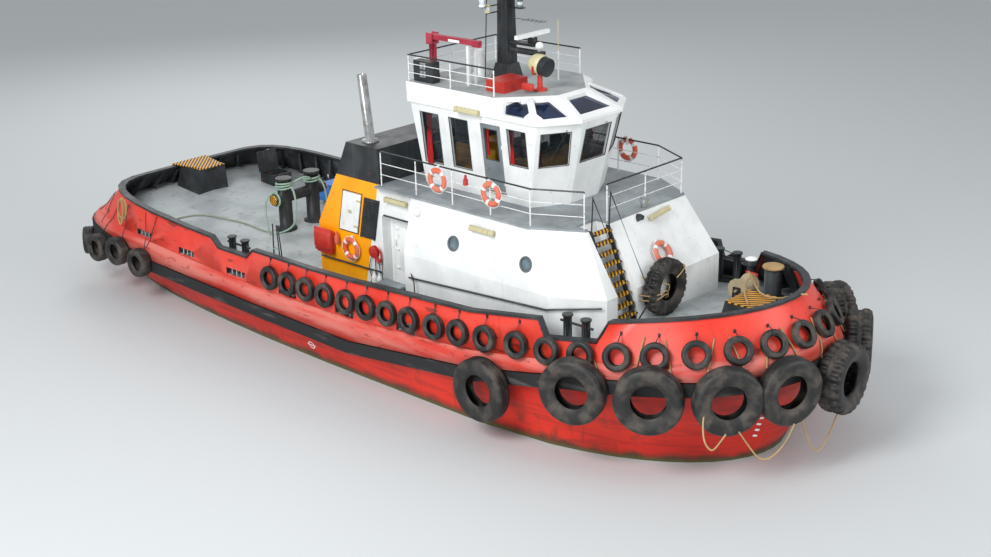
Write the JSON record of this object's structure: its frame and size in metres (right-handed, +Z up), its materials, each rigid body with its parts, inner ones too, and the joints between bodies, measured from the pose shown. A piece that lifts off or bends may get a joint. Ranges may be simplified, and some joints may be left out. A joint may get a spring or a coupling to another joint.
{
  "type": "harbour tugboat",
  "caption": "Harbour tug with a red hull hung with tyres, a yellow and black casing, a white wheelhouse, roof crane and twin steerable stern drives.",
  "frame": {"origin": "amidships on the centreline, at the waterline", "axes": "+X to the bow, +Y to port, +Z up"},
  "size_m": [29.077, 10.2776, 17.23],
  "materials": {
    "hull_red": "weathered gloss hull paint, scuffed",
    "black": "worn black deck enamel",
    "rubber": "moulded fender rubber",
    "tyre": "old tyres hung as fenders",
    "white": "white marine enamel",
    "deck_grey": "matt deck paint",
    "yellow": "amber yellow enamel",
    "crimson": "faded crimson enamel",
    "steel": "bright exhaust lagging sheet",
    "bronze": "cast propeller bronze",
    "glass": "dark tinted window glass",
    "rope": "fibre rope wound on a drum"
  },
  "bodies": {
    "hull": {"hull": "hull_red", "bulwark": "hull_red", "bulwark_rail": "black", "fender_belt": "rubber", "deckhouse": "white", "boat_deck": "deck_grey", "casing": "yellow", "casing_top": "black", "exhaust_pipe": "steel", "casing_louvre": "black", "wheelhouse": "white", "glazing_aft": "glass", "glazing_fore": "glass", "wheelhouse_roof": "white", "skylight_glass": "glass", "small_tyres": "tyre", "bow_tyres": "tyre", "side_tyre_port": "tyre", "side_tyre_starboard": "tyre", "stern_tyres_port": "tyre", "stern_tyres_starboard": "tyre", "spare_tyre": "tyre", "boat_deck_rail_starboard": "white", "boat_deck_rail_port": "white", "roof_rail": "white", "front_stairs": "black", "towing_bitt": "black", "aft_bitt_port": "black", "aft_bitt_starboard": "black", "fore_bitt_port": "black", "fore_bitt_starboard": "black", "aft_platform": "black", "fore_platform": "black", "deck_hatch": "black", "windlass_frame": "black", "fore_bollard": "black", "console": "deck_grey", "helm_chair": "black", "mast": "black", "dome_aerial": "white", "crane_rest": "white", "roof_locker": "hull_red", "floodlight_box": "black", "deck_rope": "rope"},
    "drive_starboard": {"drive_starboard": "black"},
    "propeller_starboard": {"propeller_starboard": "bronze"},
    "drive_port": {"drive_port": "black"},
    "propeller_port": {"propeller_port": "bronze"},
    "deckhouse_door_starboard": {"deckhouse_door_starboard": "white"},
    "deckhouse_door_port": {"deckhouse_door_port": "white"},
    "casing_hatch": {"casing_hatch": "white"},
    "wheelhouse_door_starboard": {"wheelhouse_door_starboard": "deck_grey"},
    "wheelhouse_door_port": {"wheelhouse_door_port": "deck_grey"},
    "hatch_lid": {"hatch_lid": "black"},
    "windlass_drum": {"windlass_drum": "rope"},
    "radar_scanner": {"radar_scanner": "white"},
    "crane_column": {"crane_column": "crimson"},
    "crane_boom": {"crane_boom": "crimson"}
  },
  "joints": [
    {"name": "steer_starboard", "type": "hinge", "parent": "hull", "child": "drive_starboard", "pos_m": [-9.3, -2.15, -2.15], "axis": [0, 0, 1], "continuous": true},
    {"name": "spin_starboard", "type": "hinge", "parent": "drive_starboard", "child": "propeller_starboard", "pos_m": [-9.3, -2.15, -3.55], "axis": [1, 0, 0], "continuous": true},
    {"name": "open_deckhouse_door_starboard", "type": "hinge", "parent": "hull", "child": "deckhouse_door_starboard", "pos_m": [1.376, -2.464, 3.8], "axis": [0, 0, 1], "range_deg": [0, 110]},
    {"name": "open_wheelhouse_door_starboard", "type": "hinge", "parent": "hull", "child": "wheelhouse_door_starboard", "pos_m": [4.596, -1.7984, 7], "axis": [0, -0.1113, 0.9938], "range_deg": [0, 100]},
    {"name": "steer_port", "type": "hinge", "parent": "hull", "child": "drive_port", "pos_m": [-9.3, 2.15, -2.15], "axis": [0, 0, 1], "continuous": true},
    {"name": "spin_port", "type": "hinge", "parent": "drive_port", "child": "propeller_port", "pos_m": [-9.3, 2.15, -3.55], "axis": [1, 0, 0], "continuous": true},
    {"name": "open_deckhouse_door_port", "type": "hinge", "parent": "hull", "child": "deckhouse_door_port", "pos_m": [1.376, 2.464, 3.8], "axis": [0, 0, -1], "range_deg": [0, 110]},
    {"name": "open_wheelhouse_door_port", "type": "hinge", "parent": "hull", "child": "wheelhouse_door_port", "pos_m": [4.596, 1.7984, 7], "axis": [0, -0.1113, -0.9938], "range_deg": [0, 100]},
    {"name": "open_casing_hatch", "type": "hinge", "parent": "hull", "child": "casing_hatch", "pos_m": [-0.639, -2.8303, 4.05], "axis": [0.2074, 0, 0.9783], "range_deg": [0, 100]},
    {"name": "close_hatch_lid", "type": "hinge", "parent": "hull", "child": "hatch_lid", "pos_m": [-11.635, 2.53, 2.888], "axis": [0, 1, 0], "range_deg": [0, 100]},
    {"name": "turn_windlass_drum", "type": "hinge", "parent": "hull", "child": "windlass_drum", "pos_m": [10.5, 1.75, 3.62], "axis": [0, 1, 0], "continuous": true},
    {"name": "turn_radar", "type": "hinge", "parent": "hull", "child": "radar_scanner", "pos_m": [4.18, 0, 10.3], "axis": [0, 0, 1], "continuous": true},
    {"name": "slew_crane", "type": "hinge", "parent": "hull", "child": "crane_column", "pos_m": [1.25, -1.13, 8.88], "axis": [0, 0, 1], "range_deg": [-170, 170]},
    {"name": "luff_crane", "type": "hinge", "parent": "crane_column", "child": "crane_boom", "pos_m": [1.25, -1.13, 10.12], "axis": [0, -1, 0], "range_deg": [0, 70]}
  ]
}
